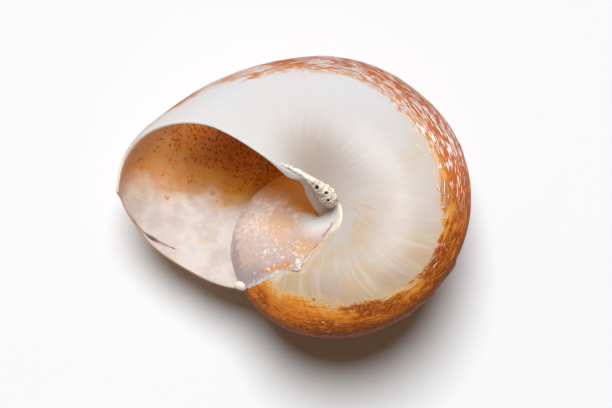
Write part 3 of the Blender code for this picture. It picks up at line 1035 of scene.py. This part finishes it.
def lining():
    """Aragonite glazed by the mantle: smooth and softly shiny, pinkish white, stained orange deep in the
    mouth, with dark specks where the stain sits in pores."""
    material, finish, add = new_material("glazed_aragonite_lining")
    angles = add("VectorMath", (add("UVMap", uv_map="growth"), FULL_TURN), operation="SCALE")
    around = add("SeparateXYZ", (angles,), output="Y")
    solid = add("TexCoord", output="Object")
    stain = add("Attribute", output="Fac", attribute_name="depth")
    slit = add("Attribute", output="Fac", attribute_name="slit")
    broad = add("TexNoise", (solid, 1.0 / (1.9 * MM), 2.0))
    cloudy = add("TexNoise", (solid, 1.0 / (3.5 * MM), 4.0, 0.6))
    fine = add("TexNoise", (solid, 1.0 / (0.9 * MM), 3.0))
    grain = add("TexNoise", (solid, 1.0 / (0.3 * MM)))

    # The stain: deep orange on the far wall, mauve with painted shade at its edge, and pale under the near
    # lip.
    edge = stain
    for pattern, amount in ((cloudy, 10.0), (fine, 4.0)):
        edge = add("Math", (pattern, amount, edge), operation="MULTIPLY_ADD")
    edge = add("Math", (edge, 7.0), operation="SUBTRACT")
    stained = add("MapRange", (edge, -9.0, 8.0), **SMOOTHLY)
    deep = add("MapRange", (around, -20.0, -82.0), **SMOOTHLY)
    mottled = add("MapRange", (cloudy, 0.40, 0.62), **SMOOTHLY)
    darker = add("Math", (mottled, 0.5), operation="MULTIPLY")
    # Partly mauve stain and partly painted shade where the far wall curves.
    mauve_and_shade = add("MapRange", (around, -20.0, -6.0, 0.0, 0.7), **SMOOTHLY)
    roof = add("MapRange", (around, 2.0, 26.0), **SMOOTHLY)
    orange = "#F9CA8E"
    for share, tint in ((deep, "#FFCE62"), (darker, "#FFBA4E"), (mauve_and_shade, "#DBA57C"), (roof, "#F6DFC8")):
        orange = add("Mix", (share, orange, tint), data_type="RGBA")
    speckled = add("Math", (fine, 0.8, mottled), operation="MULTIPLY_ADD")
    speckled = add("MapRange", (speckled, 0.3, 1.5))
    creamy = add("MapRange", (broad, 0.56, 0.70, 0.0, 0.5), **SMOOTHLY)
    colour = "#E8E3E0"
    for share, tint in ((speckled, "#DAD1CE"), (creamy, "#EEDFC4"), (stained, orange)):
        colour = add("Mix", (share, colour, tint), data_type="RGBA")

    # Specks 0.2 to 0.6 mm across, few at the stain's edge and crowded deep inside it, with rusty blotches.
    distance = add("TexVoronoi", (solid, 1.0 / (0.66 * MM)))
    chance = add("SeparateColor", (distance.node.outputs["Color"],))
    crowded = add("Math", (cloudy, 44.0, edge), operation="MULTIPLY_ADD")
    crowded = add("MapRange", (crowded, 20.0, 42.0, -0.97, -0.05))
    size = add("Math", (chance, crowded), operation="ADD")
    size = add("MapRange", (size, 0.0, 0.5, -0.05, 0.40))
    speck = add("Math", (size, distance), operation="SUBTRACT")
    speck = add("Math", (grain, 0.7, speck), operation="MULTIPLY_ADD")
    speck = add("MapRange", (speck, 0.24, 0.42, 0.0, 0.7), **SMOOTHLY)
    blotch = grain
    for pattern, amount in ((fine, 0.6), (crowded, 0.35)):
        blotch = add("Math", (pattern, amount, blotch), operation="MULTIPLY_ADD")
    blotch = add("MapRange", (blotch, 0.68, 0.90, 0.0, 0.7), **SMOOTHLY)
    on_far_wall = add("MapRange", (around, 0.0, -12.0))
    speck, blotch = [add("Math", (mark, on_far_wall), operation="MULTIPLY") for mark in (speck, blotch)]
    tone = add("Mix", (chance.node.outputs["Green"], "#D8701C", "#A8420E"), data_type="RGBA")
    for share, tint in ((blotch, "#F08C28"), (speck, tone)):
        colour = add("Mix", (share, colour, tint), data_type="RGBA")
    for place, reach, tint in STAIN_SPOTS:
        away = add("VectorMath", (solid, place), operation="DISTANCE")
        away = add("Math", (grain, 2.2 * reach, away), operation="MULTIPLY_ADD")
        spot = add("MapRange", (away, 2.1 * reach, 1.4 * reach, 0.0, 0.8), **SMOOTHLY)
        colour = add("Mix", (spot, colour, tint), data_type="RGBA")

    # The scar is grey, rusty towards the rim and nearly black in the middle.
    in_slit = add("MapRange", (slit, 0.1, 0.8))
    darkest = add("MapRange", (slit, 1.0, 1.8))
    rusty = add("MapRange", (around, -41.0, -35.0))
    scar = add("Mix", (rusty, "#8C7B80", "#A27A58"), data_type="RGBA")
    for share, tint in ((in_slit, scar), (darkest, "#2E1C1A")):
        colour = add("Mix", (share, colour, tint), data_type="RGBA")
    connect(finish, {
        "Base Color": colour,
        "Roughness": add("MapRange", (fine, 0.0, 1.0, 0.32, 0.42)),
        "IOR": ARAGONITE_IOR,
        "Specular IOR Level": 0.35,
        "Normal": add("Bump", {"Strength": 0.3, "Distance": 0.12 * MM, "Height": fine}),
    })
    let_through(add, finish, add("MapRange", (stained, 0.0, 1.0, 0.53, 0.86)), colour)
    return material


def lip():
    """The last lip, chipped and worn round: matt and faintly green-grey, like a break in the wall."""
    material, finish, add = new_material("worn_aragonite_lip")
    fine = add("TexNoise", (add("TexCoord", output="Object"), 1.0 / (0.8 * MM), 4.0, 0.65))
    turns_around = add("SeparateXYZ", (add("UVMap", uv_map="growth"),), output="Y")
    at_band = add("MapRange", (turns_around, 2.0 / FULL_TURN, -14.0 / FULL_TURN, 0.0, 0.8), **SMOOTHLY)
    colour = "#F4F2EC"
    for share, tint in ((fine, "#DEDCD0"), (at_band, "#D3A883")):
        colour = add("Mix", (share, colour, tint), data_type="RGBA")
    bump = add("Bump", {"Strength": 0.4, "Distance": 0.15 * MM, "Height": fine})
    connect(finish, {"Base Color": colour, "Roughness": 0.55, "Normal": bump})
    let_through(add, finish, 0.5, colour)
    return material


def callus():
    """Enamel-like callus laid over the old whorl: thin enough for the orange under it to show through in
    streaks, white and crusty where it has flaked, and thick and cream at its smooth end."""
    material, finish, add = new_material("deposited_aragonite_callus")
    grown = add("UVMap", uv_map="growth")
    along = add("SeparateXYZ", (add("VectorMath", (grown, FULL_TURN), operation="SCALE"),))
    around = along.node.outputs["Y"]
    solid = add("TexCoord", output="Object")
    fields = {name: add("Attribute", output="Fac", attribute_name=name) for name in CALLUS_FIELDS}
    cloudy, fine, flecks = [
        add("TexNoise", (solid, 1.0 / (size * MM), detail, 0.6))
        for size, detail in ((2.8, 4.0), (0.9, 3.0), (0.55, 2.0))
    ]
    # Streaks 4 mm long and 0.9 mm wide that run with the growth.
    stretched = {"Vector": grown, "Scale": (4.0 / OLD_TURN, 0.9 / OLD_SECTION_TURN, 1.0)}
    streaks = add("Mapping", stretched, vector_type="TEXTURE")
    streaks = add("TexNoise", (streaks, 1.0, 3.0, 0.6), noise_dimensions="2D")

    grey = add("MapRange", (fine, 0.35, 0.7))
    peach = streaks
    for pattern in (fields["warm"], cloudy, flecks):
        peach = add("Math", (pattern, 0.5, peach), operation="MULTIPLY_ADD")
    peach = add("MapRange", (peach, 1.0, 1.40, 0.0, 0.68), **SMOOTHLY)
    ochre = add("Math", (fine, 2.0, fields["ochre"]), operation="MULTIPLY_ADD")
    ochre = add("MapRange", (ochre, 1.35, 2.25, 0.0, 0.95), **SMOOTHLY)
    # Painted shade: violet-grey where the callus runs into the crease against the far wall of the mouth.
    shadowed = add("Math", (fine, 0.8, fields["painted_shade"]), operation="MULTIPLY_ADD")
    shadowed = add("MapRange", (shadowed, 0.55, 1.35, 0.0, 0.7), **SMOOTHLY)
    low_down = add("MapRange", (along, -188.0, -132.0, 0.0, 0.85), **SMOOTHLY)
    smooth_end = add("MapRange", (around, 112.0, 136.0), **SMOOTHLY)
    # Flecks of crust 0.3 to 0.6 mm across, thickest low down and on the tooth.
    flaked = fine
    for pattern, amount in (
        (streaks, 0.45), (flecks, 0.55), (fields["crust"], 0.17), (fields["tooth"], 0.32),
    ):
        flaked = add("Math", (pattern, amount, flaked), operation="MULTIPLY_ADD")
    flaked = add("MapRange", (flaked, 1.14, 1.36, 0.0, 0.85), **SMOOTHLY)
    border = add("MapRange", (fields["inside"], 3.0, 0.8, 0.0, 0.7), **SMOOTHLY)
    at_tooth = add("MapRange", (around, 70.0, 84.0))
    edging = add("Mix", (at_tooth, "#C9C7C8", "#B3905E"), data_type="RGBA")
    red = add("Math", (fields["red"], flecks), operation="MULTIPLY")
    red = add("MapRange", (red, 0.22, 0.50, 0.0, 0.75), **SMOOTHLY)
    # Deep in the mouth the callus ends, and the old whorl's own golden brown is bare, lower in the throat.
    throat = add("MapRange", (around, 92.0, 128.0, 0.0, -18.0))
    deep = add("Math", (cloudy, -24.0, along), operation="MULTIPLY_ADD")
    deep = add("Math", (deep, throat), operation="ADD")
    deep = add("MapRange", (deep, -207.0, -232.0), **SMOOTHLY)
    colour = "#D8C9C0"
    for share, tint in (
        (low_down, "#A58F85"), (grey, "#AE9991"), (peach, "#BC9162"), (shadowed, "#8E7C80"),
        (ochre, "#B9782A"), (smooth_end, "#C6C2BF"), (flaked, "#D2CDCC"), (border, edging),
        (red, "#9A5E52"), (fields["fold"], "#D3C9B6"), (deep, "#C78438"),
    ):
        colour = add("Mix", (share, colour, tint), data_type="RGBA")
    connect(finish, {
        "Base Color": colour,
        "Roughness": add("MapRange", (flaked, 0.0, 1.0, 0.28, 0.5)),
        "IOR": ARAGONITE_IOR,
        "Normal": add("Bump", {"Strength": 0.5, "Distance": 0.12 * MM, "Height": flaked}),
    })
    return material


def crust():
    """Chalky crust of the columella, grown in layers and eaten into pits: matt, cream, dark in its pits."""
    material, finish, add = new_material("chalky_aragonite_crust")
    fine = add("TexNoise", (add("TexCoord", output="Object"), 1.0 / (0.7 * MM), 5.0, 0.7))
    light = add("MapRange", (fine, 0.35, 0.62), **SMOOTHLY)
    dark = add("MapRange", (add("Attribute", output="Fac", attribute_name="pit"), 0.15, 0.7), **SMOOTHLY)
    colour = "#C6B595"
    for share, tint in ((light, "#F7F1E3"), (dark, "#4A1D10")):
        colour = add("Mix", (share, colour, tint), data_type="RGBA")
    bump = add("Bump", {"Strength": 0.6, "Distance": 0.2 * MM, "Height": fine})
    connect(finish, {"Base Color": colour, "Roughness": 0.7, "Normal": bump})
    return material


def knob():
    """Thick glazed callus in the corner of the mouth: cream, smooth and wet-looking."""
    material, finish, add = new_material("glazed_aragonite_knob")
    cloudy = add("TexNoise", (add("TexCoord", output="Object"), 1.0 / (1.2 * MM), 3.0))
    colour = add("Mix", (cloudy, "#ECE3D4", "#D2C2AA"), data_type="RGBA")
    connect(finish, {"Base Color": colour, "Roughness": 0.2, "IOR": ARAGONITE_IOR})
    return material


def finished(mesh, name, materials):
    """Makes an object of a mesh, smooth but for its sharp edges."""
    data = bpy.data.meshes.new(name)
    mesh.to_mesh(data)
    mesh.free()
    data.shade_smooth()
    data.set_sharp_from_angle(angle=math.radians(SHARP_ANGLE))
    for material in materials:
        data.materials.append(material)
    piece = bpy.data.objects.new(name, data)
    bpy.context.scene.collection.objects.link(piece)
    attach(piece, "root")
    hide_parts("shell")


def finish_shell(mesh):
    """Notes how far each corner lies inside the brown band or the mouth's stain, and adds the finish."""
    unwrapped = mesh.loops.layers.uv["growth"]
    depth = mesh.loops.layers.float.new("depth")
    slit = mesh.loops.layers.float.new("slit")
    laid = mesh.loops.layers.float.new("laid")
    first, last = BAND_EDGE[0][0], BAND_EDGE[-1][0]
    lowest, highest = STAIN_EDGE[0][0], STAIN_EDGE[-1][0]
    for face in mesh.faces:
        for loop in face.loops:
            along, around = loop[unwrapped].uv * FULL_TURN
            if face.material_index == OUTSIDE:
                loop[depth] = through(BAND_EDGE, min(max(along, first), last)) - around
                loop[laid] = along - lip_line(around)
            else:
                loop[depth] = through(STAIN_EDGE, min(max(around, lowest), highest)) - along
                loop[slit] = slit_at(around, along)
    finished(mesh, "shell_wall", (outer_shell(), lining(), lip()))


def make_floor(height):
    """A sheet of white paper under the shell."""
    mesh = bmesh.new()
    bmesh.ops.create_grid(mesh, x_segments=1, y_segments=1, size=FLOOR_HALF_WIDTH)
    bmesh.ops.translate(mesh, vec=(0, 0, height), verts=mesh.verts)
    data = bpy.data.meshes.new("floor")
    mesh.to_mesh(data)
    mesh.free()
    material, finish, _ = new_material("matt_white_paper")
    connect(finish, {"Base Color": "#D2D2D2", "Roughness": 0.9})
    data.materials.append(material)
    floor = bpy.data.objects.new("floor", data)
    bpy.context.scene.collection.objects.link(floor)


def set_studio(low, high):
    """Camera above the shell, one soft window, and the dim light of the room."""
    centre = Vector(((low[0] + high[0]) / 2, (low[1] + high[1]) / 2, 0.0))
    camera_data = bpy.data.cameras.new("camera")
    camera_data.lens = LENS
    camera_data.sensor_width = SENSOR_WIDTH
    camera_data.clip_start = 0.01
    camera = bpy.data.objects.new("camera", camera_data)
    camera.location = centre + Vector(CAMERA_PLACE)
    bpy.context.scene.collection.objects.link(camera)
    bpy.context.scene.camera = camera

    light_data = bpy.data.lights.new("window", "SUN")
    light_data.energy = WINDOW_STRENGTH
    light_data.angle = math.radians(WINDOW_SOFTNESS)
    light_data.color = WINDOW_COLOUR
    light = bpy.data.objects.new("window", light_data)
    light.rotation_euler = Vector(WINDOW_DIRECTION).to_track_quat("Z", "Y").to_euler()
    bpy.context.scene.collection.objects.link(light)

    world = bpy.data.worlds.new("studio")
    world.use_nodes = True
    connect(world.node_tree.nodes["Background"], {"Color": ROOM_COLOUR, "Strength": ROOM_STRENGTH})
    bpy.context.scene.world = world
    bpy.context.scene.view_settings.view_transform = "Standard"


def main():
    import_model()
    cad_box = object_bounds()
    low, high = cad_box
    wall = build_wall()
    shift = lay_down(wall, low, high)
    finish_shell(wall)
    finished(build_callus(shift), "parietal_callus", (callus(),))
    finished(build_lump(COLUMELLA_CRUST, CRUST_RAGGEDNESS, CRUST_PITS), "columella_crust", (crust(),))
    finished(build_lump(POSTERIOR_KNOB, KNOB_RAGGEDNESS, ()), "posterior_knob", (knob(),))
    make_floor(low[2])
    set_studio(low, high)


main()
